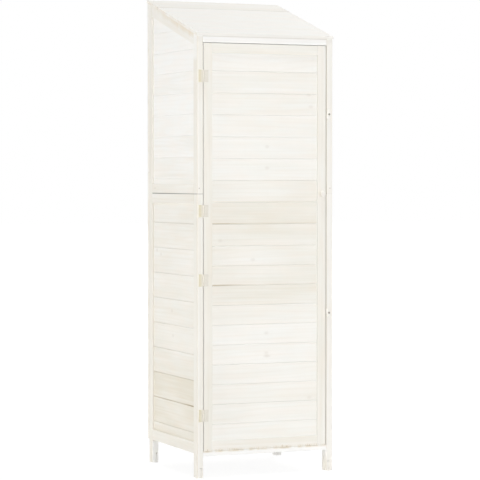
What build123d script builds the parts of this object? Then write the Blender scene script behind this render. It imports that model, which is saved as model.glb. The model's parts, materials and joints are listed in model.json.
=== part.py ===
from build123d import *
import math
import os

# Garden shed: two boarded side frames in stacked halves, a boarded back, a single-pitch roof,
# a floor, one shelf, and a boarded door on four butt hinges, held shut by two turn buttons.
# Millimetres. x runs to the right, y to the back and z up from the ground, with the
# origin on the ground in the middle of the plan.

# Whole shed
WIDTH = 555.0
DEPTH = 520.0
ROOF_FRONT_HEIGHT = 1656.0
ROOF_REAR_HEIGHT = 1816.0
SEAM_HEIGHT = 1059.0

# Frame timber
POST_WIDTH = 24.0
POST_DEPTH = 36.0
EDGE_EASE = 1.0
LEG_CLEARANCE = 90.0
LOWER_BOTTOM_RAIL = 42.0
LOWER_TOP_RAIL = 39.0
UPPER_BOTTOM_RAIL = 37.0
SLOPING_RAIL = 41.0
FRONT_TOP_RAIL = 25.0
REAR_TOP_RAIL = 42.0
FLOOR_RAIL_LOW = 81.0
FLOOR_RAIL = 18.5

# Holes in the feet, each with a saw kerf running down from it
LEG_HOLE_RADIUS = 2.5
LEG_HOLE_INSET = 15.5
LEG_HOLE_HEIGHT = 36.0
KERF_WIDTH = 1.2
KERF_DEPTH = 3.0

# Tongued and grooved boards, and the grooves that hold their ends
BOARD_THICKNESS = 10.0
BOARD_RECESS = 6.0
TONGUE_THICKNESS = 3.4
TONGUE_LENGTH = 5.0
JOINT_GAP = 0.4
JOINT_CHAMFER = 1.6
GROOVE_DEPTH = 8.0
GROOVE_CLEARANCE = 0.2
END_CLEARANCE = 0.4
LEAST_BOARD = 25.0
SIDE_LOWER_FIRST = 33.5
SIDE_LOWER_PITCH = 97.6
SIDE_UPPER_FIRST = 19.0
SIDE_UPPER_PITCH = 80.7
BACK_THICKNESS = 15.0

# Roof
ROOF_THICKNESS = 10.0
ROOF_OVERHANG = 3.0
ROOF_REAR_BOARD = 124.0
ROOF_OTHER_BOARDS = 4

# Floor and shelf
FLOOR_THICKNESS = 12.0
FLOOR_BOARDS = 5
FLOOR_SIDE_GAP = 0.5
SHELF_CLEAT = 18.0
SHELF_CLEAT_RISE = 11.5
SHELF_THICKNESS = 12.0
SHELF_BOARDS = 4
SHELF_GAP = 8.0

# Door
DOOR_THICKNESS = 22.0
DOOR_SIDE_GAP = 3.0
DOOR_TOP_GAP = 2.0
DOOR_BOTTOM_GAP = 1.5
DOOR_STILE = 34.5
DOOR_RAIL = 36.0
DOOR_FIRST = 61.0
DOOR_LOWER_PITCH = 74.0
DOOR_LOWER_BOARDS = 9
DOOR_UPPER_PITCH = 81.6
STOP_WIDTH = 12.0
STOP_DEPTH = 12.0
STOP_GAP = 0.8
STOP_LAP = 10.0

# Butt hinges, screwed on the faces of the left posts and of the door
HINGE_HEIGHT = 46.0
LEAF_WIDTH = 19.5
LEAF_THICKNESS = 1.5
KNUCKLE_RADIUS = 3.0
KNUCKLE_COUNT = 3
KNUCKLE_GAP = 0.3
PIN_RADIUS = 1.5
PIN_CLEARANCE = 0.05
TOP_HINGE_DROP = 123.0
BOTTOM_HINGE_RISE = 132.0
UPPER_MIDDLE_HINGE_DROP = 63.5
LOWER_MIDDLE_HINGE_DROP = 321.5

# Turn buttons on the right posts
BUTTON_LENGTH = 36.0
BUTTON_WIDTH = 14.0
BUTTON_THICKNESS = 9.0
BUTTON_BEVEL = 2.0
BUTTON_INSET = 6.5
BUTTON_TILT = 8.0
UPPER_BUTTON_RISE = 301.0
LOWER_BUTTON_DROP = 454.0
WASHER_RADIUS = 5.0
WASHER_THICKNESS = 0.8
BUTTON_SCREW_RADIUS = 2.0
BUTTON_SCREW_HEAD_RADIUS = 3.6
BUTTON_SCREW_HEAD_HEIGHT = 2.2
BUTTON_SCREW_LENGTH = 32.0
BUTTON_SCREW_PLAY = 0.3
BUTTON_SCREW_CLEARANCE = 0.05

# Turned knob on the latch stile
KNOB_HEIGHT = 1059.0
KNOB_RADIUS = 12.0
KNOB_LENGTH = 17.0
KNOB_NECK_RADIUS = 6.5
KNOB_NECK_LENGTH = 5.0
KNOB_BEVEL = 3.0

# Faces and lines that follow from the sizes above
LEFT = -WIDTH / 2
RIGHT = WIDTH / 2
FRONT = -DEPTH / 2
BACK = DEPTH / 2
LEFT_POST_FACE = LEFT + POST_WIDTH
RIGHT_POST_FACE = RIGHT - POST_WIDTH
FRONT_POST_BACK = FRONT + POST_DEPTH
REAR_POST_BACK = BACK - BACK_THICKNESS
REAR_POST_FRONT = REAR_POST_BACK - POST_DEPTH
TENON = GROOVE_DEPTH - END_CLEARANCE
REACH = WIDTH + DEPTH + ROOF_REAR_HEIGHT
FLOOR_RAIL_TOP = FLOOR_RAIL_LOW + FLOOR_RAIL
FLOOR_TOP = FLOOR_RAIL_TOP + FLOOR_THICKNESS
STOP_FACE = FRONT + DOOR_THICKNESS + STOP_GAP
SLOPE = math.atan2(ROOF_REAR_HEIGHT - ROOF_FRONT_HEIGHT, DEPTH + ROOF_OVERHANG)
RISE = math.tan(SLOPE)
PLUMB = 1 / math.cos(SLOPE)


def roof_under(y):
    """Height of the roof boards' underside at y."""
    return ROOF_FRONT_HEIGHT + (y - FRONT + ROOF_OVERHANG) * RISE - ROOF_THICKNESS * PLUMB


FRONT_TOP_RAIL_LOW = roof_under(FRONT) - FRONT_TOP_RAIL
DOOR_TOP = FRONT_TOP_RAIL_LOW - DOOR_TOP_GAP
DOOR_BOTTOM = FLOOR_RAIL_TOP + DOOR_BOTTOM_GAP
DOOR_LEFT = LEFT_POST_FACE + DOOR_SIDE_GAP
DOOR_RIGHT = RIGHT_POST_FACE - DOOR_SIDE_GAP
DOOR_RECESS = (DOOR_THICKNESS - BOARD_THICKNESS) / 2
SHELF_CLEAT_LOW = SEAM_HEIGHT + SHELF_CLEAT_RISE
SHELF_LOW = SHELF_CLEAT_LOW + SHELF_CLEAT
HINGE_X = (LEFT_POST_FACE + DOOR_LEFT) / 2
HINGE_Y = FRONT - KNUCKLE_RADIUS
HINGE_CENTRES = {
    "top": DOOR_TOP - TOP_HINGE_DROP,
    "upper_middle": SEAM_HEIGHT - UPPER_MIDDLE_HINGE_DROP,
    "lower_middle": SEAM_HEIGHT - LOWER_MIDDLE_HINGE_DROP,
    "bottom": DOOR_BOTTOM + BOTTOM_HINGE_RISE,
}
BUTTON_X = RIGHT_POST_FACE + BUTTON_INSET
BUTTON_BORE = BUTTON_SCREW_RADIUS + BUTTON_SCREW_CLEARANCE
BUTTON_SCREW_SEAT = FRONT - WASHER_THICKNESS - BUTTON_THICKNESS - BUTTON_SCREW_PLAY
BUTTON_CENTRES = {
    "upper": SEAM_HEIGHT + UPPER_BUTTON_RISE,
    "lower": SEAM_HEIGHT - LOWER_BUTTON_DROP,
}
KNOB_X = DOOR_RIGHT - DOOR_STILE / 2


def block(x0, x1, y0, y1, z0, z1):
    """Box between two corners."""
    return Pos(x0, y0, z0) * Box(x1 - x0, y1 - y0, z1 - z0, align=(Align.MIN, Align.MIN, Align.MIN))


def timber(x0, x1, y0, y1, z0, z1, run):
    """Squared timber with eased edges along its run, an axis."""
    piece = block(x0, x1, y0, y1, z0, z1)
    return chamfer(piece.edges().filter_by(run), EDGE_EASE)


def prism_x(outline, x0, x1):
    """Outline of (y, z) points carried from x0 to x1."""
    face = make_face(Polyline(*[(x0, y, z) for y, z in outline], close=True))
    return extrude(face, amount=x1 - x0, dir=(1, 0, 0))


def prism_y(outline, y0, y1):
    """Outline of (x, z) points carried from y0 to y1."""
    face = make_face(Polyline(*[(x, y0, z) for x, z in outline], close=True))
    return extrude(face, amount=y1 - y0, dir=(0, 1, 0))


def rod(start, direction, radius, length):
    """Cylinder from a start point along a direction."""
    plane = Plane(origin=start, z_dir=direction)
    return plane * Cylinder(radius, length, align=(Align.CENTER, Align.CENTER, Align.MIN))


def on_right(piece):
    """Mirror image of a left piece."""
    return mirror(piece, about=Plane.YZ)


def slope_band(y0, y1, top_drop, bottom_drop):
    """Outline in (y, z) between two lines that lie square distances below the roof boards."""
    top = top_drop * PLUMB
    bottom = bottom_drop * PLUMB
    return [
        (y0, roof_under(y0) - bottom),
        (y1, roof_under(y1) - bottom),
        (y1, roof_under(y1) - top),
        (y0, roof_under(y0) - top),
    ]


def above_slope(drop):
    """Everything higher than a line a square distance below the roof boards."""
    return prism_x(slope_band(FRONT - DEPTH, BACK + DEPTH, -REACH, drop), -REACH, REACH)


def board_outline(low, high, thickness, first, last):
    """Section of one board as (depth from its outer face, height) points, tongue up and groove down."""
    middle = thickness / 2
    tongue = TONGUE_THICKNESS / 2
    slot = tongue + GROOVE_CLEARANCE
    slot_top = low + TONGUE_LENGTH + GROOVE_CLEARANCE - JOINT_GAP
    shoulder = high - JOINT_GAP
    if first:
        bottom = [(thickness, low), (0, low)]
    else:
        bottom = [
            (thickness, low),
            (middle + slot, low),
            (middle + slot, slot_top),
            (middle - slot, slot_top),
            (middle - slot, low),
            (JOINT_CHAMFER, low),
            (0, low + JOINT_CHAMFER),
        ]
    if last:
        top = [(0, high), (thickness, high)]
    else:
        top = [
            (0, shoulder - JOINT_CHAMFER),
            (JOINT_CHAMFER, shoulder),
            (middle - tongue, shoulder),
            (middle - tongue, shoulder + TONGUE_LENGTH),
            (middle + tongue, shoulder + TONGUE_LENGTH),
            (middle + tongue, shoulder),
            (thickness, shoulder),
        ]
    return bottom + top


def courses(low, joint, pitch, high):
    """Edges of the boards from low to high, with joints a pitch apart from the first one."""
    edges = [low]
    while joint < high - LEAST_BOARD:
        edges.append(joint)
        joint += pitch
    edges.append(high)
    return list(zip(edges, edges[1:]))


def board_outlines(edges, thickness):
    """Sections of a stack of boards, the end ones plain where they meet the frame."""
    last = len(edges) - 1
    return [board_outline(*edge, thickness, i == 0, i == last) for i, edge in enumerate(edges)]


def side_post(front, low, high, groove_low):
    """Left post, grooved on the face that looks along the side, from groove_low upwards."""
    y0 = FRONT if front else REAR_POST_FRONT
    post = timber(LEFT, LEFT_POST_FACE, y0, y0 + POST_DEPTH, low, high, Axis.Z)
    groove_y = FRONT_POST_BACK - GROOVE_DEPTH if front else REAR_POST_FRONT
    post -= block(
        LEFT + BOARD_RECESS - GROOVE_CLEARANCE,
        LEFT + BOARD_RECESS + BOARD_THICKNESS + GROOVE_CLEARANCE,
        groove_y,
        groove_y + GROOVE_DEPTH,
        groove_low,
        high,
    )
    return post


def lower_post(front):
    """Lower left post, whose foot is the shed's leg."""
    post = side_post(front, 0, SEAM_HEIGHT, LEG_CLEARANCE)
    y0 = FRONT if front else REAR_POST_FRONT
    x = LEFT + LEG_HOLE_INSET
    post -= rod((x, y0 - 1, LEG_HOLE_HEIGHT), (0, 1, 0), LEG_HOLE_RADIUS, POST_DEPTH + 2)
    return post - block(x - KERF_WIDTH / 2, x + KERF_WIDTH / 2, y0, y0 + KERF_DEPTH, 0, LEG_HOLE_HEIGHT)


def upper_post(front):
    """Upper left post, cut to the roof's slope."""
    return side_post(front, SEAM_HEIGHT, ROOF_REAR_HEIGHT, SEAM_HEIGHT) - above_slope(0)


def side_rail(low, high, groove_up):
    """Left rail between the posts, grooved for the boards and tenoned into the posts' grooves."""
    rail = timber(LEFT, LEFT_POST_FACE, FRONT_POST_BACK, REAR_POST_FRONT, low, high, Axis.Y)
    groove_low = high - GROOVE_DEPTH if groove_up else low
    tenon_low = low if groove_up else low + GROOVE_DEPTH
    tenon_high = high - GROOVE_DEPTH if groove_up else high
    x0 = LEFT + BOARD_RECESS
    x1 = x0 + BOARD_THICKNESS
    rail += block(x0, x1, FRONT_POST_BACK - TENON, REAR_POST_FRONT + TENON, tenon_low, tenon_high)
    return rail - block(
        x0 - GROOVE_CLEARANCE,
        x1 + GROOVE_CLEARANCE,
        FRONT_POST_BACK,
        REAR_POST_FRONT,
        groove_low,
        groove_low + GROOVE_DEPTH,
    )


def sloping_rail():
    """Left top rail under the roof boards, grooved below and tenoned into the posts."""
    y0 = FRONT_POST_BACK
    y1 = REAR_POST_FRONT
    x0 = LEFT + BOARD_RECESS
    x1 = x0 + BOARD_THICKNESS
    groove_drop = SLOPING_RAIL - GROOVE_DEPTH
    rail = prism_x(slope_band(y0, y1, 0, SLOPING_RAIL), LEFT, LEFT_POST_FACE)
    rail += prism_x(slope_band(y0 - TENON, y1 + TENON, 0, groove_drop), x0, x1)
    groove = slope_band(y0, y1, groove_drop, SLOPING_RAIL)
    return rail - prism_x(groove, x0 - GROOVE_CLEARANCE, x1 + GROOVE_CLEARANCE)


def side_boards(edges):
    """Boards of a left panel, each end in a post's groove."""
    boards = []
    for outline in board_outlines(edges, BOARD_THICKNESS):
        placed = [(LEFT + BOARD_RECESS + depth, height) for depth, height in outline]
        boards.append(prism_y(placed, FRONT_POST_BACK - TENON, REAR_POST_FRONT + TENON))
    return boards


def lower_side_boards():
    """Boards between the lower rails."""
    rail_top = LEG_CLEARANCE + LOWER_BOTTOM_RAIL
    high = SEAM_HEIGHT - LOWER_TOP_RAIL + TENON
    edges = courses(rail_top - TENON, rail_top + SIDE_LOWER_FIRST, SIDE_LOWER_PITCH, high)
    return side_boards(edges)


def upper_side_boards():
    """Boards above the seam, cut to the groove of the sloping rail."""
    rail_top = SEAM_HEIGHT + UPPER_BOTTOM_RAIL
    drop = SLOPING_RAIL - TENON
    high = roof_under(REAR_POST_FRONT + TENON) - drop * PLUMB
    edges = courses(rail_top - TENON, rail_top + SIDE_UPPER_FIRST, SIDE_UPPER_PITCH, high)
    return [board - above_slope(drop) for board in side_boards(edges)]


def shelf_cleat():
    """Left batten that carries the shelf, fixed to the rail beside it."""
    return timber(
        LEFT_POST_FACE,
        LEFT_POST_FACE + SHELF_CLEAT,
        FRONT_POST_BACK,
        REAR_POST_FRONT,
        SHELF_CLEAT_LOW,
        SHELF_LOW,
        Axis.Y,
    )


def back_boards(edges):
    """Boards nailed across the backs of the rear posts."""
    boards = []
    for outline in board_outlines(edges, BACK_THICKNESS):
        placed = [(BACK - depth, height) for depth, height in outline]
        boards.append(prism_x(placed, LEFT, RIGHT))
    return boards


def lower_back_boards():
    """Back of the lower half."""
    edges = courses(LEG_CLEARANCE, LEG_CLEARANCE + SIDE_LOWER_PITCH, SIDE_LOWER_PITCH, SEAM_HEIGHT)
    return back_boards(edges)


def upper_back_boards():
    """Back of the upper half, bevelled to the roof."""
    edges = courses(SEAM_HEIGHT, SEAM_HEIGHT + SIDE_UPPER_PITCH, SIDE_UPPER_PITCH, roof_under(BACK))
    return [board - above_slope(0) for board in back_boards(edges)]


def roof_boards():
    """Boards laid across the slope, tongues uphill, cut plumb at the front and back."""
    run = (DEPTH + ROOF_OVERHANG) * PLUMB
    rear_joint = run - ROOF_REAR_BOARD
    pitch = rear_joint / ROOF_OTHER_BOARDS
    joints = [pitch * i for i in range(1, ROOF_OTHER_BOARDS + 1)]
    ends = [-ROOF_THICKNESS] + joints + [run + ROOF_THICKNESS]
    trim = block(-REACH, REACH, FRONT - ROOF_OVERHANG, BACK, 0, REACH)
    boards = []
    for outline in board_outlines(list(zip(ends, ends[1:])), ROOF_THICKNESS):
        placed = [
            (
                FRONT - ROOF_OVERHANG + along * math.cos(SLOPE) + depth * math.sin(SLOPE),
                ROOF_FRONT_HEIGHT + along * math.sin(SLOPE) - depth * math.cos(SLOPE),
            )
            for depth, along in outline
        ]
        boards.append(prism_x(placed, LEFT - ROOF_OVERHANG, RIGHT + ROOF_OVERHANG) & trim)
    return boards


def floor_boards():
    """Boards from front to back on the floor rails, whose front ends stop the door."""
    x0 = LEFT_POST_FACE + FLOOR_SIDE_GAP
    x1 = RIGHT_POST_FACE - FLOOR_SIDE_GAP
    pitch = (x1 - x0) / FLOOR_BOARDS
    edges = [(x0 + pitch * i, x0 + pitch * (i + 1)) for i in range(FLOOR_BOARDS)]
    boards = []
    for outline in board_outlines(edges, FLOOR_THICKNESS):
        placed = [(across, FLOOR_TOP - depth) for depth, across in outline]
        boards.append(prism_y(placed, STOP_FACE, REAR_POST_BACK))
    return boards


def shelf_boards():
    """Loose boards across the two cleats."""
    x0 = LEFT_POST_FACE + FLOOR_SIDE_GAP
    x1 = RIGHT_POST_FACE - FLOOR_SIDE_GAP
    pitch = (REAR_POST_BACK - FRONT_POST_BACK) / SHELF_BOARDS
    boards = []
    for i in range(SHELF_BOARDS):
        y0 = FRONT_POST_BACK + pitch * i + SHELF_GAP / 2
        y1 = y0 + pitch - SHELF_GAP
        boards.append(timber(x0, x1, y0, y1, SHELF_LOW, SHELF_LOW + SHELF_THICKNESS, Axis.X))
    return boards


def front_top_rail():
    """Rail over the door, planed to the roof's slope."""
    rail = timber(
        LEFT_POST_FACE, RIGHT_POST_FACE, FRONT, STOP_FACE, FRONT_TOP_RAIL_LOW, ROOF_REAR_HEIGHT, Axis.X
    )
    return rail - above_slope(0)


def rear_top_rail():
    """Rail between the rear posts under the high end of the roof."""
    low = roof_under(REAR_POST_FRONT) - REAR_TOP_RAIL
    rail = timber(
        LEFT_POST_FACE, RIGHT_POST_FACE, REAR_POST_FRONT, REAR_POST_BACK, low, ROOF_REAR_HEIGHT, Axis.X
    )
    return rail - above_slope(0)


def floor_rail(y0):
    """Rail between a pair of posts that carries the ends of the floor boards."""
    return timber(
        LEFT_POST_FACE, RIGHT_POST_FACE, y0, y0 + POST_DEPTH, FLOOR_RAIL_LOW, FLOOR_RAIL_TOP, Axis.X
    )


def side_door_stop():
    """Strip on the left post that the closed door stops against."""
    return timber(
        LEFT_POST_FACE,
        LEFT_POST_FACE + STOP_WIDTH,
        STOP_FACE,
        STOP_FACE + STOP_DEPTH,
        FLOOR_TOP,
        DOOR_TOP - STOP_LAP,
        Axis.Z,
    )


def top_door_stop():
    """Strip behind the front top rail that stops the head of the door."""
    high = FRONT_TOP_RAIL_LOW + FRONT_TOP_RAIL / 2
    return timber(
        LEFT_POST_FACE,
        RIGHT_POST_FACE,
        STOP_FACE,
        STOP_FACE + STOP_DEPTH,
        DOOR_TOP - STOP_LAP,
        high,
        Axis.X,
    )


def door_stile():
    """Left stile of the door, grooved for the rails' tenons and the boards."""
    x1 = DOOR_LEFT + DOOR_STILE
    stile = timber(DOOR_LEFT, x1, FRONT, FRONT + DOOR_THICKNESS, DOOR_BOTTOM, DOOR_TOP, Axis.Z)
    return stile - block(
        x1 - GROOVE_DEPTH,
        x1,
        FRONT + DOOR_RECESS - GROOVE_CLEARANCE,
        FRONT + DOOR_RECESS + BOARD_THICKNESS + GROOVE_CLEARANCE,
        DOOR_BOTTOM,
        DOOR_TOP,
    )


def door_rail(low, groove_up):
    """Rail between the stiles, grooved for the boards and tenoned into the stiles."""
    high = low + DOOR_RAIL
    x0 = DOOR_LEFT + DOOR_STILE
    x1 = DOOR_RIGHT - DOOR_STILE
    y0 = FRONT + DOOR_RECESS
    y1 = y0 + BOARD_THICKNESS
    groove_low = high - GROOVE_DEPTH if groove_up else low
    tenon_low = low if groove_up else low + GROOVE_DEPTH
    rail = timber(x0, x1, FRONT, FRONT + DOOR_THICKNESS, low, high, Axis.X)
    rail += block(x0 - TENON, x1 + TENON, y0, y1, tenon_low, tenon_low + DOOR_RAIL - GROOVE_DEPTH)
    return rail - block(
        x0, x1, y0 - GROOVE_CLEARANCE, y1 + GROOVE_CLEARANCE, groove_low, groove_low + GROOVE_DEPTH
    )


def door_boards():
    """Boards of the door in two widths, each end in a stile's groove."""
    rail_top = DOOR_BOTTOM + DOOR_RAIL
    change = rail_top + DOOR_FIRST + DOOR_LOWER_PITCH * DOOR_LOWER_BOARDS
    high = DOOR_TOP - DOOR_RAIL + TENON
    lower = courses(rail_top - TENON, rail_top + DOOR_FIRST, DOOR_LOWER_PITCH, change)
    upper = courses(change, change + DOOR_UPPER_PITCH, DOOR_UPPER_PITCH, high)
    x0 = DOOR_LEFT + DOOR_STILE - TENON
    x1 = DOOR_RIGHT - DOOR_STILE + TENON
    boards = []
    for outline in board_outlines(lower + upper, BOARD_THICKNESS):
        placed = [(FRONT + DOOR_RECESS + depth, height) for depth, height in outline]
        boards.append(prism_x(placed, x0, x1))
    return boards


def knuckle(low, high):
    """One curl of a leaf round the pin, with the tab that joins it to the plate."""
    radius = KNUCKLE_RADIUS
    inner = radius - LEAF_THICKNESS
    meet = math.sqrt(radius**2 - inner**2)
    tab = radius + 2 * KNUCKLE_GAP
    half_way = math.radians(90 + (270 + math.degrees(math.asin(inner / radius))) / 2)
    curl = ThreePointArc(
        (0, radius, low),
        (radius * math.cos(half_way), radius * math.sin(half_way), low),
        (meet, inner, low),
    )
    outline = [
        Line((tab, radius, low), (0, radius, low)),
        curl,
        Line((meet, inner, low), (tab, inner, low)),
        Line((tab, inner, low), (tab, radius, low)),
    ]
    return extrude(make_face(outline), amount=high - low, dir=(0, 0, 1))


def hinge_leaf(side, centre):
    """Leaf with its plate on the wood; the post's (side -1) holds the pin that the door's turns on."""
    half = HINGE_HEIGHT / 2
    pitch = HINGE_HEIGHT / KNUCKLE_COUNT
    leaf = block(
        KNUCKLE_RADIUS + KNUCKLE_GAP,
        LEAF_WIDTH,
        KNUCKLE_RADIUS - LEAF_THICKNESS,
        KNUCKLE_RADIUS,
        -half,
        half,
    )
    first = 0 if side < 0 else 1
    for i in range(first, KNUCKLE_COUNT, 2):
        low = -half + pitch * i
        leaf += knuckle(low + KNUCKLE_GAP / 2, low + pitch - KNUCKLE_GAP / 2)
    if side < 0:
        pin = rod((0, 0, -half + pitch / 2), (0, 0, 1), PIN_RADIUS, HINGE_HEIGHT - pitch)
        leaf = on_right(leaf + pin)
    else:
        leaf -= rod((0, 0, -half), (0, 0, 1), PIN_RADIUS + PIN_CLEARANCE, HINGE_HEIGHT)
    return Pos(HINGE_X, HINGE_Y, centre) * leaf


def turn_button(centre, tilt):
    """Oval wooden button, standing nearly upright on the post, clear of the door."""
    oval = SlotOverall(BUTTON_LENGTH, BUTTON_WIDTH, rotation=90 - tilt)
    button = extrude(oval, amount=BUTTON_THICKNESS)
    button = chamfer(button.faces().sort_by(Axis.Z)[-1].edges(), BUTTON_BEVEL)
    button -= rod((0, 0, 0), (0, 0, 1), BUTTON_BORE, BUTTON_THICKNESS)
    face = Plane(origin=(BUTTON_X, FRONT - WASHER_THICKNESS, centre), x_dir=(1, 0, 0), z_dir=(0, -1, 0))
    return face * button


def button_washer(centre):
    """Washer that holds a turn button clear of the post and the door."""
    start = (BUTTON_X, FRONT, centre)
    washer = rod(start, (0, -1, 0), WASHER_RADIUS, WASHER_THICKNESS)
    return washer - rod(start, (0, -1, 0), BUTTON_BORE, WASHER_THICKNESS)


def button_screw(centre):
    """Flat-headed screw that a button turns on."""
    start = (BUTTON_X, BUTTON_SCREW_SEAT, centre)
    head = rod(start, (0, -1, 0), BUTTON_SCREW_HEAD_RADIUS, BUTTON_SCREW_HEAD_HEIGHT)
    return head + rod(start, (0, 1, 0), BUTTON_SCREW_RADIUS, BUTTON_SCREW_LENGTH)


def button_hole(centre):
    """Pilot hole in the post for a button's screw."""
    depth = BUTTON_SCREW_SEAT + BUTTON_SCREW_LENGTH + BUTTON_SCREW_CLEARANCE - FRONT
    return rod((BUTTON_X, FRONT, centre), (0, 1, 0), BUTTON_BORE, depth)


def knob():
    """Turned knob: a neck and a wider head with a bevelled front."""
    profile = Polyline(
        (0, 0),
        (KNOB_NECK_RADIUS, 0),
        (KNOB_NECK_RADIUS, KNOB_NECK_LENGTH),
        (KNOB_RADIUS, KNOB_NECK_LENGTH),
        (KNOB_RADIUS, KNOB_LENGTH - KNOB_BEVEL),
        (KNOB_RADIUS - KNOB_BEVEL, KNOB_LENGTH),
        (0, KNOB_LENGTH),
        close=True,
    )
    turned = revolve(Plane.XZ * make_face(profile), axis=Axis.Z)
    return Plane(origin=(KNOB_X, FRONT, KNOB_HEIGHT), z_dir=(0, -1, 0)) * turned


nodes = {}

# Side frames: the left one is made, and the right one mirrors it
side_pieces = {
    "lower_front_post": [lower_post(True)],
    "lower_rear_post": [lower_post(False)],
    "lower_bottom_rail": [side_rail(LEG_CLEARANCE, LEG_CLEARANCE + LOWER_BOTTOM_RAIL, True)],
    "lower_top_rail": [side_rail(SEAM_HEIGHT - LOWER_TOP_RAIL, SEAM_HEIGHT, False)],
    "lower_boards": lower_side_boards(),
    "upper_front_post": [upper_post(True)],
    "upper_rear_post": [upper_post(False)],
    "upper_bottom_rail": [side_rail(SEAM_HEIGHT, SEAM_HEIGHT + UPPER_BOTTOM_RAIL, True)],
    "sloping_rail": [sloping_rail()],
    "upper_boards": upper_side_boards(),
    "shelf_cleat": [shelf_cleat()],
    "door_stop": [side_door_stop()],
}
for name, pieces in side_pieces.items():
    nodes[f"left_{name}"] = pieces
    nodes[f"right_{name}"] = [on_right(piece) for piece in pieces]

# The turn buttons are on the right posts only
for half, centre in BUTTON_CENTRES.items():
    post = f"right_{half}_front_post"
    nodes[post] = [nodes[post][0] - button_hole(centre)]

# Front, back, roof, floor and shelf
nodes["front_top_rail"] = [front_top_rail()]
nodes["rear_top_rail"] = [rear_top_rail()]
nodes["front_floor_rail"] = [floor_rail(FRONT)]
nodes["rear_floor_rail"] = [floor_rail(REAR_POST_FRONT)]
nodes["top_door_stop"] = [top_door_stop()]
nodes["back_lower_boards"] = lower_back_boards()
nodes["back_upper_boards"] = upper_back_boards()
nodes["roof_boards"] = roof_boards()
nodes["floor_boards"] = floor_boards()
nodes["shelf_boards"] = shelf_boards()

# Door
nodes["door_hinge_stile"] = [door_stile()]
nodes["door_latch_stile"] = [on_right(door_stile())]
nodes["door_top_rail"] = [door_rail(DOOR_TOP - DOOR_RAIL, False)]
nodes["door_bottom_rail"] = [door_rail(DOOR_BOTTOM, True)]
nodes["door_boards"] = door_boards()
nodes["door_knob"] = [knob()]

# Hinges
for place, centre in HINGE_CENTRES.items():
    nodes[f"{place}_hinge_post_leaf"] = [hinge_leaf(-1, centre)]
    nodes[f"{place}_hinge_door_leaf"] = [hinge_leaf(1, centre)]

# Turn buttons, the lower one tilted the other way
nodes["upper_turn_button"] = [turn_button(BUTTON_CENTRES["upper"], BUTTON_TILT)]
nodes["lower_turn_button"] = [turn_button(BUTTON_CENTRES["lower"], -BUTTON_TILT)]
nodes["turn_button_washers"] = [button_washer(centre) for centre in BUTTON_CENTRES.values()]
nodes["turn_button_screws"] = [button_screw(centre) for centre in BUTTON_CENTRES.values()]

os.makedirs("parts", exist_ok=True)
for name, pieces in nodes.items():
    solids = [solid for piece in pieces for solid in piece.solids()]
    shape = solids[0] if len(solids) == 1 else Compound(solids)
    export_step(shape, f"parts/{name}.step")
print(len(nodes), "nodes")
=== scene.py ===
import json
import math
import random

import bmesh
import bpy
from mathutils import Euler, Matrix, Vector


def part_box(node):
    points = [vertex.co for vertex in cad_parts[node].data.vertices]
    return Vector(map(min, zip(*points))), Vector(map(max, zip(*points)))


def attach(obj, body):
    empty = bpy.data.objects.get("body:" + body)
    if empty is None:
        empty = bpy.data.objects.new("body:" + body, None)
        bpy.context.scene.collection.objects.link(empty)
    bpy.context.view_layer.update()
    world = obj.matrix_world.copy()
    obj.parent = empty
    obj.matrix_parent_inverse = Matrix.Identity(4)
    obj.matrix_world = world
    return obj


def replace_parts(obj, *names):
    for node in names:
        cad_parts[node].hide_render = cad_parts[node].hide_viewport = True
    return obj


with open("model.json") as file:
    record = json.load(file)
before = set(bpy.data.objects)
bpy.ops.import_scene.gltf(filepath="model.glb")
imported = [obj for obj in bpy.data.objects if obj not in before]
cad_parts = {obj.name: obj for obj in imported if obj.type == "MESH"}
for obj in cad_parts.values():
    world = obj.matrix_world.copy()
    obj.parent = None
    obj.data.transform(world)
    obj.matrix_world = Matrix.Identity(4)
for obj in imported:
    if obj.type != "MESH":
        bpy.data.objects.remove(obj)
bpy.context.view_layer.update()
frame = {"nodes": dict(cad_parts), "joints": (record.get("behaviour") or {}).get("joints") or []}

# Looks of a whitewashed garden shed. Metres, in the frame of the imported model:
# x to the right, y to the back and z up, with the door on the front, towards -y.
AXIS = {"x": 0, "y": 1, "z": 2}
HINGES = ("top", "upper_middle", "lower_middle", "bottom")
WHITE = (1.0, 1.0, 1.0)

# Distances within which corners lie in one plane, and points are one
SAME_PLANE = 1e-4
SAME_POINT = 1e-5

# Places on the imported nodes
LEFT_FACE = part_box("left_upper_front_post")[0].x
RIGHT_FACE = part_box("right_upper_front_post")[1].x
FRONT_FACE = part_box("left_upper_front_post")[0].y
BACK_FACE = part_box("back_lower_boards")[1].y
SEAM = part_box("left_upper_front_post")[0].z
DOOR_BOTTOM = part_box("door_bottom_rail")[0].z
TOP_RAIL_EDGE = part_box("door_top_rail")[0].z
SILL_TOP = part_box("front_floor_rail")[1].z
LEG_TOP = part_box("left_lower_bottom_rail")[0].z
PLATE_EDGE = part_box("top_hinge_post_leaf")[0].x
ROOF_LOW, ROOF_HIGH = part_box("roof_boards")
ROOF_CORNERS = [vertex.co for vertex in frame["nodes"]["roof_boards"].data.vertices]
ROOF_FRONT_TOP = max(corner.z for corner in ROOF_CORNERS if corner.y < ROOF_LOW.y + SAME_PLANE)
ROOF_RISE = (ROOF_HIGH.z - ROOF_FRONT_TOP) / (ROOF_HIGH.y - ROOF_LOW.y)

# Camera, fitted to the photograph
LENS = 154.65
CAMERA_PLACE = (-3.1322, -7.3555, 1.1156)
CAMERA_TURN = (88.297, 0.0, -23.109)

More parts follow.
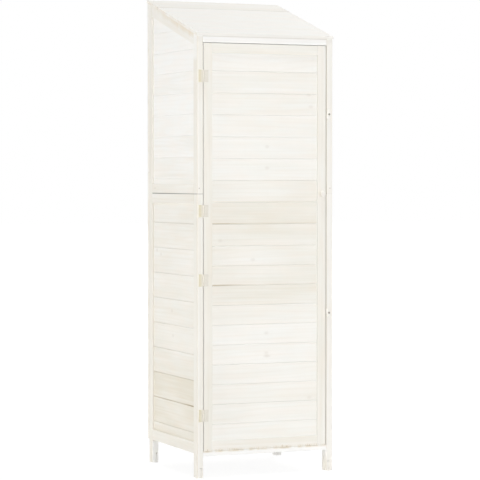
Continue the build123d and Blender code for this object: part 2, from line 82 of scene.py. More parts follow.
# Light: an even sky, and soft lamps by azimuth, elevation, the share of full light each gives, and width
SKY_LIGHT = 0.35
SKY_SEEN = 1.0
LAMP_AIM = (0.0, 0.0, 0.9)
LAMP_DISTANCE = 9.0
LAMP_SIZE = 1.8
NARROW_LAMP = 0.5
LAMPS = {"front_lamp": (-23.0, 1.0, 0.283, LAMP_SIZE),
         "right_lamp": (32.0, 22.0, 0.10, LAMP_SIZE),
         "left_lamp": (-84.0, -0.5, 0.300, NARROW_LAMP),
         "top_lamp": (-20.0, 76.0, 0.325, LAMP_SIZE),
         "rear_lamp": (140.0, 24.0, 0.55, LAMP_SIZE)}

# Floor: seen as white, but for a small share near the shed that shows its true light and the shadow
FLOOR_HALF = 40.0
FLOOR_COLOUR = (0.93, 0.93, 0.93)
FLOOR_WHITE = 1.07
FLOOR_WHITENING = 0.85
SHADOW_REACH = (0.9, 2.2)

# Colours of the wood, as linear values
WASH = (0.945, 0.932, 0.895)
SIDE_WASH = (0.958, 0.948, 0.917)
# Thick wash of the front rails and torn fibres; also painted light in gaps, on the legs' shaded sides, and a
# paler patch at the top of the post sides
THICK_WASH_AND_PAINTED_LIGHT = (0.975, 0.970, 0.950)
BARE = (0.800, 0.755, 0.650)
LATEWOOD = (0.700, 0.620, 0.500)
END_GRAIN = (0.700, 0.570, 0.380)
KNOT = (0.500, 0.430, 0.350)
# Dirt in joints between boards; also painted shade in corners, under the roof's front edge and on the knob
DIRT_AND_PAINTED_SHADE = (0.420, 0.360, 0.280)
# Painted shade on steps from frames down to recessed boards, and in the corners of the latch stile
STEP_SHADE = (0.420, 0.400, 0.370)
SEAM_SHADE = (0.130, 0.115, 0.095)
STAIN = (0.370, 0.255, 0.095)
RUST = (0.650, 0.510, 0.290)
TAN = (0.720, 0.560, 0.330)
COOL_TINT = (0.995, 1.004, 1.010)
WARM_TINT = (1.005, 0.995, 0.988)

# Colours of the metal, each with that of its dull patches, as linear values
GOLD_ZINC = ((0.745, 0.700, 0.555), (0.715, 0.665, 0.520))
GREY_ZINC = ((0.790, 0.760, 0.685), (0.755, 0.720, 0.645))
DARK_STEEL = ((0.36, 0.33, 0.29), (0.27, 0.25, 0.22))
SCREW_STEEL = ((0.58, 0.53, 0.47), (0.50, 0.45, 0.40))
NAIL_STEEL = ((0.58, 0.55, 0.50), (0.48, 0.45, 0.41))

# Finish of the metal: roughness, share of metal, and its patches and specks as features per metre and detail
ZINC_FINISH = {"rough": 0.65, "shine": 0.25}
STEEL_FINISH = {"rough": 0.50, "shine": 0.60}
DULL_PATCHES = (160.0, 4.0)
DULL_EDGES = (0.40, 0.75)
SPECKS = (900.0, 2.0)
SPECK_ROUGHNESS = 0.20
SPECK_BUMP = {"Strength": 0.15, "Distance": 0.0001}
GOLD_FADE = (0.008, 0.014)

# Figure of the wood: features per metre along and across the grain, and the detail of the noise
STREAKS = (2.2, 110.0, 3.0)
BLOTCHES = (3.0, 14.0, 2.0)
FIBRES = (30.0, 1400.0, 2.0)
TINTS = (8.0, 30.0, 1.0)
RING_WARP = (1.4, 9.0, 1.0)
KNOT_CELLS = (3.1, 8.0)

# Annual rings per metre across the grain, how many of them the warp moves them by, and how sharp they are
RINGS = 58.0
RING_SWAY = 5.0
RING_SHARPNESS = 3.0

# How far apart in the noise single pieces and single boards may lie
PIECE_SEED = 40.0
BOARD_SEED = 60.0

# Strength of the figure, and the values between which its parts fade in
NOISE_MIDDLE = 0.5
STREAK_SHARE = 0.55
BLOTCH_SHARE = 0.70
FIGURE_LEAST = 0.60
TINT_EDGES = (0.30, 0.70)
FIBRE_LINES = 0.05
RING_LINES = 0.05
KNOT_SHARE = 0.86
KNOT_SPOT = (0.07, 0.01)
KNOT_STRENGTH = 0.30
END_STRENGTH = 0.70
END_FACING = (0.6, 0.8)
END_PATCHES = (0.1, 0.9)
RAGGED_EDGES = (0.34, 0.60)
RING_RELIEF = 0.35
FIBRE_RELIEF = 0.65
WOOD_BUMP = {"Strength": 0.35, "Distance": 0.0005}
WOOD_ROUGHNESS = 0.64
FIBRE_ROUGHNESS = 0.25
WOOD_SPECULAR = 0.25

# Dirt in the joints between boards, painted shade in corners, which keeps off the floor, and painted light in
# the gaps
JOINT_WIDTH = 0.0035
JOINT_CORE = 0.2
JOINT_DIRT = 0.25
PAINTED_CORNER_SHADE = 0.40
CORNER_REACH = 0.010
CORNER_SAMPLES = 8
CORNER_EDGES = (0.90, 0.30)
OFF_FLOOR = (0.002, 0.020)
FLAT_GAP_PAINTED_LIGHT = 0.90
UPRIGHT_GAP_PAINTED_LIGHT = 1.00

# Boards that show more bare wood, counted from the bottom or the front, and the share of it
DOOR_BARE = {0: 0.08, 1: 0.19, 2: 0.23, 5: 0.05, 6: 0.18, 7: 0.44, 8: 0.48, 9: 0.32, 10: 0.55, 11: 0.54,
             12: 0.36, 14: 0.06, 16: 0.20, 17: 0.23, 18: 0.06}
LOWER_SIDE_BARE = {0: 0.72, 1: 0.85, 2: 0.92, 3: 0.62}
UPPER_SIDE_BARE = {0: 0.22, 1: 0.22, 2: 0.13, 3: 0.05, 5: 0.12}
ROOF_BARE = {4: 0.16}
BOARD_SPREAD = 0.04
SHARE_SHIFT = 0.2

# Boards whose lower joint is cleaner or dirtier than the rest, and the strength of its dirt
DOOR_DIRT = {6: 0.05, 7: 0.18, 14: 0.09, 16: 0.10, 18: 0.06}
SIDE_DIRT = {0: 0.0, 1: 0.0}

# Knots that show on the door (x, z) and on the lower left side (y, z)
DOOR_KNOTS = [(0.009, 1.236), (0.009, 1.156), (0.006, 0.534), (0.006, 0.459), (-0.049, 0.811),
              (-0.182, 0.884), (0.181, 1.433), (0.190, 1.388), (0.185, 0.283)]
SIDE_KNOTS = [(0.173, 0.837), (0.130, 0.822), (0.013, 0.609), (0.003, 0.514)]
KNOT_RADIUS = 0.010
KNOT_CORE = 0.1
KNOT_SQUEEZE = 0.7
DOOR_KNOT_MARK = 0.15
SIDE_KNOT_MARK = 0.18

# Marks of single groups of pieces. A name in MARK is a strength, or the two that it goes between;
# one in REACH or EDGES is where it starts and where it is full, and one in HALF is half a line's width.
FACING = (0.4, 0.7)
LINE_CORE = 0.3
DOOR_STAINS = (0.7175, 0.9471)
DOOR_STAIN_REACH = (-0.04, -0.20)
DOOR_STAIN_MARK = (0.10, 0.51)
SIDE_STAIN = 0.2631
SIDE_STAIN_REACH = (-0.06, -0.22)
SIDE_STAIN_MARK = (0.20, 0.69)
STAIN_HALF = 0.0035
TOP_STEP_HALF = 0.0055
TOP_STEP_MARK = 0.14
RAIL_STEP_MARK = 0.15
REAR_STEP_MARK = 0.26
LATCH_STEP_MARK = 0.43
SEAM_HALF = 0.0022
SEAM_BACK_REACH = (-0.24, 0.10)
SEAM_BACK_MARK = (0.20, 0.50)
SEAM_LEFT_REACH = (0.20, -0.20)
SEAM_LEFT_MARK = (0.05, 0.35)
POST_SIDE_MARK = 0.25
TOP_PATCH_REACH = (1.545, 1.575)
TOP_PATCH_MARK = 0.60
# Painted shade on the posts' corner chamfers, and painted light on the legs' shaded inner sides
CHAMFER_SHADE_EDGES = (0.3, 0.6)
CHAMFER_SHADE_MARK = 0.80
INWARD_EDGES = (-0.1, -0.2)
LEG_FADE = 0.01
LEG_LIGHT_START = 0.3
REAR_LEG_MARK = 0.95
SLOPE_RAGGED = 0.012
SLOPE_DEPTH_REACH = (0.020, -0.012)
SLOPE_FRONT_REACH = (0.22, -0.05)
SLOPE_FRONT_MARK = (0.10, 0.38)
EAVE_REACH = (0.0055, 0.002)
EAVE_MARK = 0.40
ROOF_JOINT_HALF = 0.0070
ROOF_JOINT_MARK = 0.35
# Painted shade on the knob's left and under side
KNOB_SHADE_X = -0.95
KNOB_SHADE_Z = -0.3
KNOB_SHADE_EDGES = (0.2, 0.9)
KNOB_SHADE_MARK = 0.50

# Patchy rust along the torn lower edge of the door, with features per metre
EDGE_BLOTCHES = 20.0
EDGE_SPECKS = 260.0
EDGE_DETAIL = 2.0
BLOTCH_EDGES = (0.36, 0.60)
SPECK_EDGES = (0.50, 0.62)
EDGE_HALF = 0.0055
EDGE_MARK = 0.45
SILL_HALF = 0.0080
SILL_MARK = 0.50
TORN_LEAST_MARK = 0.10
TORN_PATCH_MARK = 0.20
TORN_SPECK_MARK = 0.45

# Torn fibres: how many, and how far they hang down, rise, stand proud and go back
TORN_COUNT = 240
TORN_DROP = (0.0006, 0.0013)
TORN_RISE = (0.0010, 0.0080)
TORN_PROUD = (0.0002, 0.0006)
TORN_DEPTH = 0.0030

# Heads of screws and nails: rings, rise and cross as shares of the radius
HEAD_RINGS = (1.0, 0.97, 0.8, 0.66, 0.58, 0.42, 0.3, 0.2, 0.08)
HEAD_RISE = 0.16
HEAD_SEGMENTS = 32
CROSS_ARM = 0.17
CROSS_REACH = 0.62
CROSS_DEPTH = 0.3
DEEP_CROSS = 0.4

# Screws and nails: sizes, places, and turns of the crosses in degrees
HINGE_SCREW_RADIUS = 0.0030
LEAF_THICKNESS = 0.0015
LEAF_SCREW_INSET = 0.0080
LEAF_SCREW_SPREAD = 0.0150
SPIN_START = 25.0
SPIN_STEP = 40.0
SPIN_PER_METRE = 300.0
SEAM_SCREW_RADIUS = 0.0024
SEAM_SCREW_RISE = 0.0205
SEAM_SCREW_INSET = 0.0090
SIDE_SCREW_Y = 0.180
NAIL_RADIUS = 0.0016
NAIL_INSET = 0.014
NAIL_SHARE = 0.25
NAIL_SEGMENTS = 12

# Turn buttons and their screws, with the tilt from upright in degrees, and the turn from face up to front
BUTTON_LENGTH = 0.036
BUTTON_WIDTH = 0.014
BUTTON_ROUND = 0.0028
BUTTON_TILT = {"upper": 8.0, "lower": -8.0}
BUTTON_ARC = 16
ROUND_STEPS = 5
BUTTON_SCREW_RADIUS = 0.0036
BUTTON_SCREW_NECK = 0.0022
FACE_FRONT = Matrix(((1, 0, 0, 0), (0, 0, -1, 0), (0, 1, 0, 0), (0, 0, 0, 1)))

# Knob: shares of its radius and of its length, from the foot to the face
KNOB_PROFILE = [(0.62, 0.0), (0.62, 0.06), (0.57, 0.12), (0.55, 0.20), (0.58, 0.28), (0.72, 0.36),
                (0.88, 0.43), (0.97, 0.52), (1.0, 0.62), (1.0, 0.72), (0.97, 0.82), (0.90, 0.90),
                (0.77, 0.96), (0.55, 0.99), (0.30, 1.0), (0.06, 1.0)]
KNOB_SEGMENTS = 48


class Tree:
    """Short calls that add shader nodes to one material or world."""

    # Sockets of a Mix node that hold colours; others have the same names
    MIX_FACTOR = 0
    MIX_FIRST = 6
    MIX_SECOND = 7
    MIX_RESULT = 2

    def __init__(self, owner):
        owner.use_nodes = True
        self.nodes = owner.node_tree.nodes
        self.links = owner.node_tree.links
        self.nodes.clear()

    def put(self, socket, value):
        """Link a socket to an output, or set its plain value."""
        if isinstance(value, bpy.types.NodeSocket):
            self.links.new(value, socket)
        elif hasattr(value, "__len__") and len(value) == 3 and socket.type == "RGBA":
            socket.default_value = (*value, 1.0)
        else:
            socket.default_value = value

    def add(self, kind, **inputs):
        """New node with its inputs set by name, underscores standing for spaces."""
        node = self.nodes.new("ShaderNode" + kind)
        for name, value in inputs.items():
            self.put(node.inputs[name.replace("_", " ")], value)
        return node

    def math(self, operation, *values):
        """Result of one sum."""
        node = self.nodes.new("ShaderNodeMath")
        node.operation = operation
        for socket, value in zip(node.inputs, values):
            self.put(socket, value)
        return node.outputs[0]

    def fade(self, value, start, end, low=0.0, high=1.0):
        """Low where the value is at start, high where it is at end, smooth between."""
        node = self.add("MapRange", Value=value, From_Min=start, From_Max=end, To_Min=low, To_Max=high)
        node.interpolation_type = "SMOOTHSTEP"
        return node.outputs[0]

    def blend(self, factor, first, second, kind="MIX"):
        """Colour from first, at factor 0, to second, or to what the kind makes of both, at 1."""
        node = self.nodes.new("ShaderNodeMix")
        node.data_type = "RGBA"
        node.blend_type = kind
        self.put(node.inputs[self.MIX_FACTOR], factor)
        self.put(node.inputs[self.MIX_FIRST], first)
        self.put(node.inputs[self.MIX_SECOND], second)
        return node.outputs[self.MIX_RESULT]

    def noise(self, vector, detail, scale=1.0):
        """Noise at the vector, with so many features for each unit of it."""
        return self.add("TexNoise", Vector=vector, Scale=scale, Detail=detail).outputs[0]

    def steps(self, value, places, colours):
        """Stepped ramp, as colour and alpha: each colour holds from its place to the next one."""
        node = self.add("ValToRGB", Fac=value)
        ramp = node.color_ramp
        ramp.interpolation = "CONSTANT"
        while len(ramp.elements) < len(places):
            ramp.elements.new(1.0)
        for element, place, colour in zip(ramp.elements, places, colours):
            element.position = place
            element.color = colour
        return node.outputs

    def finish(self, shader, kind="OutputMaterial"):
        """Send a shader to the output."""
        self.links.new(shader.outputs[0], self.nodes.new("ShaderNode" + kind).inputs["Surface"])


def spans(node, axis):
    """Lowest and highest place along an axis of each separate solid in a node, in order."""
    copy = bmesh.new()
    copy.from_mesh(frame["nodes"][node].data)
    bmesh.ops.remove_doubles(copy, verts=copy.verts, dist=SAME_POINT)
    left = set(copy.verts)
    found = []
    while left:
        front = [left.pop()]
        places = []
        while front:
            vertex = front.pop()
            places.append(vertex.co[axis])
            near = {edge.other_vert(vertex) for edge in vertex.link_edges} & left
            left -= near
            front.extend(near)
        found.append((min(places), max(places)))
    copy.free()
    return sorted(found)


def spots(tree, u, v, places, strength):
    """Strength at the middle of each listed spot, 0 away from them, longer along u."""
    mask = None
    for place_u, place_v in places:
        du = tree.math("MULTIPLY", tree.math("SUBTRACT", u, place_u), KNOT_SQUEEZE)
        dv = tree.math("SUBTRACT", v, place_v)
        squares = tree.math("ADD", tree.math("MULTIPLY", du, du), tree.math("MULTIPLY", dv, dv))
        off = tree.math("SQRT", squares)
        spot = tree.fade(off, KNOT_RADIUS, KNOT_CORE * KNOT_RADIUS, high=strength)
        mask = spot if mask is None else tree.math("MAXIMUM", mask, spot)
    return mask


def line(tree, coordinate, place, half, strength=1.0):
    """Strength on a line at a place along a coordinate, 0 beyond its half width."""
    off = tree.math("ABSOLUTE", tree.math("SUBTRACT", coordinate, place))
    return tree.fade(off, half, LINE_CORE * half, high=strength)


def facing(tree, component, way=1, strength=1.0):
    """Strength on faces that look along a component of the normal, or against it where way is -1."""
    return tree.fade(component, way * FACING[0], way * FACING[1], high=strength)


def noise_along(tree, coordinate, rate):
    """Noise along one coordinate, with so many features per metre."""
    vector = tree.add("CombineXYZ", X=tree.math("MULTIPLY", coordinate, rate)).outputs[0]
    return tree.noise(vector, EDGE_DETAIL)


def blotches_along(tree, coordinate):
    """Patches along an edge, 1 in them and 0 between."""
    return tree.fade(noise_along(tree, coordinate, EDGE_BLOTCHES), *BLOTCH_EDGES)


def below_roof(tree, axes):
    """Plumb distance below the underside of the roof boards."""
    under = tree.math("MULTIPLY_ADD", tree.math("SUBTRACT", axes[1], ROOF_LOW.y), ROOF_RISE, ROOF_LOW.z)
    return tree.math("SUBTRACT", under, axes[2])


def shaded_leg(tree, axes, normal):
    """Two masks: faces that look towards the middle of the shed, and the legs below its side frames."""
    inward = tree.fade(tree.math("MULTIPLY", normal[0], axes[0]), *INWARD_EDGES)
    leg = tree.fade(axes[2], LEG_TOP, LEG_TOP - LEG_FADE)
    return inward, leg


# Marks that a wood can carry: each takes the tree, the coordinates, the normal, a ragged mask and the colour
def door_marks(tree, axes, normal, ragged, colour):
    """Knots of the door, painted shade on the step below its top rail, and two stained joints, darkest near
    the hinges.
    """
    step = line(tree, axes[2], TOP_RAIL_EDGE, TOP_STEP_HALF, TOP_STEP_MARK)
    colour = tree.blend(step, colour, STEP_SHADE)
    colour = tree.blend(spots(tree, axes[0], axes[2], DOOR_KNOTS, DOOR_KNOT_MARK), colour, KNOT)
    near_hinges = tree.fade(axes[0], *DOOR_STAIN_REACH, *DOOR_STAIN_MARK)
    for height in DOOR_STAINS:
        mask = tree.math("MULTIPLY", line(tree, axes[2], height, STAIN_HALF), ragged)
        colour = tree.blend(tree.math("MULTIPLY", mask, near_hinges), colour, STAIN)
    return colour


def side_marks(tree, axes, normal, ragged, colour):
    """Knots of the lower side and its stained joint, darkest towards the front."""
    colour = tree.blend(spots(tree, axes[1], axes[2], SIDE_KNOTS, SIDE_KNOT_MARK), colour, KNOT)
    near_front = tree.fade(axes[1], *SIDE_STAIN_REACH, *SIDE_STAIN_MARK)
    mask = tree.math("MULTIPLY", line(tree, axes[2], SIDE_STAIN, STAIN_HALF), near_front)
    return tree.blend(mask, colour, STAIN)


def seam_marks(tree, axes, normal, ragged, colour):
    """Dark line where the upper half stands on the lower one, fainter on the front."""
    outward = facing(tree, tree.math("ABSOLUTE", normal[0]))
    towards_back = tree.fade(axes[1], *SEAM_BACK_REACH, *SEAM_BACK_MARK)
    leftward = tree.fade(axes[0], *SEAM_LEFT_REACH, *SEAM_LEFT_MARK)
    strength = tree.math("MULTIPLY_ADD", outward, towards_back, leftward)
    mask = tree.math("MULTIPLY", line(tree, axes[2], SEAM, SEAM_HALF), strength)
    return tree.blend(mask, colour, SEAM_SHADE)


def post_marks(tree, axes, normal, ragged, colour):
    """Seam line, painted shade on the corner chamfers, and sides darker than the fronts.

    The sides are paler in a patch at their top, and painted light lies on the leg's inner side,
    close under the frame, where shade falls.
    """
    outward = facing(tree, tree.math("ABSOLUTE", normal[0]))
    colour = tree.blend(tree.math("MULTIPLY", outward, POST_SIDE_MARK), colour, BARE)
    patch = tree.fade(axes[2], *TOP_PATCH_REACH, high=TOP_PATCH_MARK)
    colour = tree.blend(tree.math("MULTIPLY", outward, patch), colour, THICK_WASH_AND_PAINTED_LIGHT)
    corner = tree.fade(tree.math("ABSOLUTE", normal[1]), *CHAMFER_SHADE_EDGES, high=CHAMFER_SHADE_MARK)
    colour = tree.blend(tree.math("MULTIPLY", outward, corner), colour, LATEWOOD)
    inward, leg = shaded_leg(tree, axes, normal)
    upper = tree.math("MULTIPLY", leg, tree.fade(axes[2], LEG_LIGHT_START * LEG_TOP, LEG_TOP))
    colour = tree.blend(tree.math("MULTIPLY", inward, upper), colour, THICK_WASH_AND_PAINTED_LIGHT)
    return seam_marks(tree, axes, normal, ragged, colour)


def rear_post_marks(tree, axes, normal, ragged, colour):
    """Painted shade on the step from the post down to the boards, and painted light on the shaded sides of
    the leg.
    """
    forward = facing(tree, normal[1], -1)
    inward, leg = shaded_leg(tree, axes, normal)
    shaded = tree.math("MULTIPLY", tree.math("MAXIMUM", forward, inward), leg)
    colour = tree.blend(tree.math("MULTIPLY", shaded, REAR_LEG_MARK), colour, THICK_WASH_AND_PAINTED_LIGHT)
    step = tree.math("MULTIPLY", forward, tree.math("SUBTRACT", 1.0, leg))
    return tree.blend(tree.math("MULTIPLY", step, REAR_STEP_MARK), colour, STEP_SHADE)


def latch_stile_marks(tree, axes, normal, ragged, colour):
    """Painted shade on the step from the stile down to the boards."""
    return tree.blend(facing(tree, normal[0], -1, LATCH_STEP_MARK), colour, STEP_SHADE)


def slope_marks(tree, axes, normal, ragged, colour):
    """Patchy tan along the top of the sloping rail, strongest close under the ends of the roof boards and
    towards the front.
    """
    patches = blotches_along(tree, axes[1])
    depth = tree.math("MULTIPLY_ADD", patches, -SLOPE_RAGGED, below_roof(tree, axes))
    forward = tree.fade(axes[1], *SLOPE_FRONT_REACH, *SLOPE_FRONT_MARK)
    mask = tree.math("MULTIPLY", tree.fade(depth, *SLOPE_DEPTH_REACH), forward)
    return tree.blend(mask, colour, TAN)


def eave_marks(tree, axes, normal, ragged, colour):
    """Shade on the top of the rail under the roof's front edge."""
    return tree.blend(tree.fade(below_roof(tree, axes), *EAVE_REACH, high=EAVE_MARK), colour, DIRT_AND_PAINTED_SHADE)


def roof_marks(tree, axes, normal, ragged, colour):
    """Grimy joint in front of the rearmost roof board."""
    rear_joint = spans("roof_boards", AXIS["y"])[-1][0]
    mask = line(tree, axes[1], rear_joint, ROOF_JOINT_HALF, ROOF_JOINT_MARK)
    return tree.blend(tree.math("MULTIPLY", mask, ragged), colour, DIRT_AND_PAINTED_SHADE)


def edge_marks(tree, axes, normal, ragged, colour):
    """Painted shade on the step from the boards out to the rail, and patchy rust along the lower edge of the
    door.
    """
    colour = tree.blend(facing(tree, normal[2], strength=RAIL_STEP_MARK), colour, STEP_SHADE)
    mask = line(tree, axes[2], DOOR_BOTTOM, EDGE_HALF, EDGE_MARK)
    return tree.blend(tree.math("MULTIPLY", mask, blotches_along(tree, axes[0])), colour, RUST)


def sill_marks(tree, axes, normal, ragged, colour):
    """Patchy rust along the upper edge of the rail under the door."""
    mask = line(tree, axes[2], SILL_TOP, SILL_HALF, SILL_MARK)
    return tree.blend(tree.math("MULTIPLY", mask, blotches_along(tree, axes[0])), colour, RUST)


def torn_marks(tree, axes, normal, ragged, colour):
    """Rust in patches, and dark specks within them."""
    patches = blotches_along(tree, axes[0])
    colour = tree.blend(tree.math("MULTIPLY_ADD", patches, TORN_PATCH_MARK, TORN_LEAST_MARK), colour, RUST)
    specks = tree.fade(noise_along(tree, axes[0], EDGE_SPECKS), *SPECK_EDGES, high=TORN_SPECK_MARK)
    return tree.blend(tree.math("MULTIPLY", specks, patches), colour, STAIN)


def knob_marks(tree, axes, normal, ragged, colour):
    """Painted shade on the left and under side of the knob."""
    across = tree.math("MULTIPLY", normal[0], KNOB_SHADE_X)
    under = tree.math("MULTIPLY_ADD", normal[2], KNOB_SHADE_Z, across)
    return tree.blend(tree.fade(under, *KNOB_SHADE_EDGES, high=KNOB_SHADE_MARK), colour, DIRT_AND_PAINTED_SHADE)


def board_values(tree, name, place, edges, show, bare, dirt, dirty):
    """What differs between the boards of a stack: chance, bare share, height above the joint and its dirt."""
    draw = random.Random(name)
    low, high = edges[0][0], edges[-1][1]
    starts = [(edge[0] - low) / (high - low) for edge in edges]
    colours = []
    for i, start in enumerate(starts):
        share = bare.get(i, show) + draw.uniform(-BOARD_SPREAD, BOARD_SPREAD)
        chance = draw.random()
        colours.append((chance, share + SHARE_SHIFT, start, dirty.get(i, dirt * chance)))
    level = tree.add("MapRange", Value=place, From_Min=low, From_Max=high).outputs[0]
    board, dirt_of_board = tree.steps(level, starts, colours)
    chance, share, start = tree.add("SeparateColor", Color=board).outputs
    above = tree.math("MULTIPLY", tree.math("SUBTRACT", level, start), high - low)
    return chance, tree.math("SUBTRACT", share, SHARE_SHIFT), above, dirt_of_board


def wood(name, grain, show, boards=None, stack=None, bare=None, marks=None, end=END_STRENGTH, dirt=JOINT_DIRT,
         dirty=None, painted_corner_shading=PAINTED_CORNER_SHADE, corner=DIRT_AND_PAINTED_SHADE, wash=WASH, tilt=0.0):
    """Whitewashed fir with its grain along an axis; show is the share of bare wood under the wash.

    For a stack of boards, boards and stack name the node and the axis they are stacked on, bare
    gives the share for single boards, dirt is the strength of the lines between boards, and dirty
    gives that for single boards. Marks adds what only these pieces carry. End is the strength of
    the colour of cut ends, and the corner shading that of the colour named corner, which is painted
    into the corners and gaps: painted shade where that colour is dark, painted light where it is pale.
    Wash is the colour of the whitewash. Tilt turns the grain about x, in radians.
    """
    material = bpy.data.materials.new(name)
    tree = Tree(material)
    place = tree.add("TexCoord").outputs
    axes = tree.add("SeparateXYZ", Vector=place["Object"]).outputs
    normal = tree.add("SeparateXYZ", Vector=place["Normal"]).outputs
    figure = axes
    if tilt:
        turned = tree.add("VectorRotate", Vector=place["Object"], Angle=-tilt)
        turned.rotation_type = "X_AXIS"
        figure = tree.add("SeparateXYZ", Vector=turned.outputs[0]).outputs
    along = figure[AXIS[grain]]
    sides = [figure[i] for i in AXIS.values() if i != AXIS[grain]]
    seed = tree.math("MULTIPLY", tree.add("ObjectInfo").outputs["Random"], PIECE_SEED)
    joint = None
    if boards:
        edges = spans(boards, AXIS[stack])
        values = board_values(tree, name, axes[AXIS[stack]], edges, show, bare or {}, dirt, dirty or {})
        chance, show, above, dirt_of_board = values
        seed = tree.math("MULTIPLY_ADD", chance, BOARD_SEED, seed)
        joint = tree.fade(above, JOINT_WIDTH, JOINT_CORE * JOINT_WIDTH, high=dirt_of_board)

    def stretched(along_rate, across_rate):
        """Coordinates with so many features per metre along and across the grain."""
        shifted = tree.math("MULTIPLY_ADD", along, along_rate, seed)
        first, second = (tree.math("MULTIPLY", side, across_rate) for side in sides)
        return tree.add("CombineXYZ", X=shifted, Y=first, Z=second).outputs[0]

    def figured(along_rate, across_rate, detail):
        """Noise that follows the grain."""
        return tree.noise(stretched(along_rate, across_rate), detail)

    # Streaks and blotches of bare wood, faint tints, fibres and annual rings
    streaks = figured(*STREAKS)
    blotches = figured(*BLOTCHES)
    fibres = figured(*FIBRES)
    sway = tree.math("MULTIPLY", figured(*RING_WARP), RING_SWAY)
    turn = tree.math("MULTIPLY_ADD", tree.math("ADD", *sides), RINGS, sway)
    wave = tree.math("SINE", tree.math("MULTIPLY", turn, 2 * math.pi))
    rings = tree.math("POWER", tree.math("MULTIPLY_ADD", wave, 0.5, 0.5), RING_SHARPNESS)
    uneven = tree.math("MULTIPLY", tree.math("SUBTRACT", streaks, NOISE_MIDDLE), STREAK_SHARE)
    uneven = tree.math("MULTIPLY_ADD", tree.math("SUBTRACT", blotches, NOISE_MIDDLE), BLOTCH_SHARE, uneven)
    worn = tree.math("MULTIPLY_ADD", uneven, tree.math("ADD", show, FIGURE_LEAST), show)
    colour = tree.blend(worn, wash, BARE)
    tint = tree.blend(tree.fade(figured(*TINTS), *TINT_EDGES), COOL_TINT, WARM_TINT)
    colour = tree.blend(1.0, colour, tint, "MULTIPLY")
    lines = tree.math("MULTIPLY_ADD", fibres, FIBRE_LINES, tree.math("MULTIPLY", rings, RING_LINES))
    colour = tree.blend(lines, colour, LATEWOOD)

    # Scattered knots, cut ends, painted shade in corners and gaps (painted light where the corner colour is
    # pale), and dirt in joints
    cells = tree.add("TexVoronoi", Vector=stretched(*KNOT_CELLS), Scale=1.0).outputs
    chosen = tree.fade(tree.add("SeparateColor", Color=cells["Color"]).outputs[0], KNOT_SHARE, 1.0)
    spot = tree.fade(cells["Distance"], *KNOT_SPOT, high=KNOT_STRENGTH)
    colour = tree.blend(tree.math("MULTIPLY", spot, chosen), colour, KNOT)
    ends = tree.fade(tree.math("ABSOLUTE", normal[AXIS[grain]]), *END_FACING, high=end)
    ends = tree.math("MULTIPLY", ends, tree.fade(blotches, *END_PATCHES))
    colour = tree.blend(ends, colour, END_GRAIN)
    shade = tree.add("AmbientOcclusion", Distance=CORNER_REACH)
    shade.samples = CORNER_SAMPLES
    off_floor = tree.fade(axes[AXIS["z"]], *OFF_FLOOR, high=painted_corner_shading)
    painted_crevice_shading = tree.math("MULTIPLY", tree.fade(shade.outputs["AO"], *CORNER_EDGES), off_floor)
    colour = tree.blend(painted_crevice_shading, colour, corner)
    if joint:
        colour = tree.blend(joint, colour, DIRT_AND_PAINTED_SHADE)
    if marks:
        colour = marks(tree, axes, normal, tree.fade(streaks, *RAGGED_EDGES), colour)

    # Relief and gloss
    height = tree.math("MULTIPLY_ADD", rings, RING_RELIEF, tree.math("MULTIPLY", fibres, FIBRE_RELIEF))
    bump = tree.add("Bump", Height=height, **WOOD_BUMP)
    rough = tree.math("MULTIPLY_ADD", fibres, FIBRE_ROUGHNESS, WOOD_ROUGHNESS)
    shader = tree.add("BsdfPrincipled", Base_Color=colour, Roughness=rough, Normal=bump.outputs[0])
    shader.inputs["Specular IOR Level"].default_value = WOOD_SPECULAR
    tree.finish(shader)
    return material


def metal(name, colours, rough, shine, beyond=None):
    """Plated steel with dull patches and fine scratches in its gloss.

    Beyond gives two places along x, and the colour that the plating fades to between them.
    """
    colour, dull = colours
    patch_rate, patch_detail = DULL_PATCHES
    speck_rate, speck_detail = SPECKS
    material = bpy.data.materials.new(name)
    tree = Tree(material)
    place = tree.add("TexCoord").outputs["Object"]
    patches = tree.noise(place, patch_detail, patch_rate)
    specks = tree.noise(place, speck_detail, speck_rate)
    tint = tree.blend(tree.fade(patches, *DULL_EDGES), colour, dull)
    if beyond:
        start, end, further = beyond
        x = tree.add("SeparateXYZ", Vector=place).outputs[0]
        tint = tree.blend(tree.fade(x, start, end), tint, further)
    gloss = tree.math("MULTIPLY_ADD", specks, SPECK_ROUGHNESS, rough)
    bump = tree.add("Bump", Height=specks, **SPECK_BUMP)
    shader = tree.add("BsdfPrincipled", Base_Color=tint, Roughness=gloss, Normal=bump.outputs[0])
    shader.inputs["Metallic"].default_value = shine
    tree.finish(shader)
    return material


def seen_directly(tree):
    """1 for rays from the camera and for mirrored or passed-through ones, 0 for the rest."""
    path = tree.add("LightPath").outputs
    seen = tree.math("MAXIMUM", path["Is Camera Ray"], path["Is Glossy Ray"])
    return tree.math("MAXIMUM", seen, path["Is Transmission Ray"])


def dress(material, *names):
    """Give a material to CAD nodes."""
    for name in names:
        for holder in frame["nodes"][name].material_slots:
            holder.material = material


def both(*names):
    """Names of the left and right nodes."""
    return [f"{side}_{name}" for name in names for side in ("left", "right")]


def piece(name, mesh_maker, material, body, smooth=True):
    """New object whose mesh is filled by mesh_maker, riding on a body."""
    mesh = bpy.data.meshes.new(name)
    shape = bmesh.new()
    mesh_maker(shape)
    bmesh.ops.recalc_face_normals(shape, faces=shape.faces)
    shape.to_mesh(mesh)
    shape.free()
    for polygon in mesh.polygons:
        polygon.use_smooth = smooth
    thing = bpy.data.objects.new(name, mesh)
    bpy.context.scene.collection.objects.link(thing)
    mesh.materials.append(material)
    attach(thing, body)
    return thing


def on_face(centre, normal):
    """Matrix that puts a small piece's z axis along a face's normal."""
    turn = Vector(normal).to_track_quat("Z", "Y").to_matrix().to_4x4()
    return Matrix.Translation(Vector(centre)) @ turn


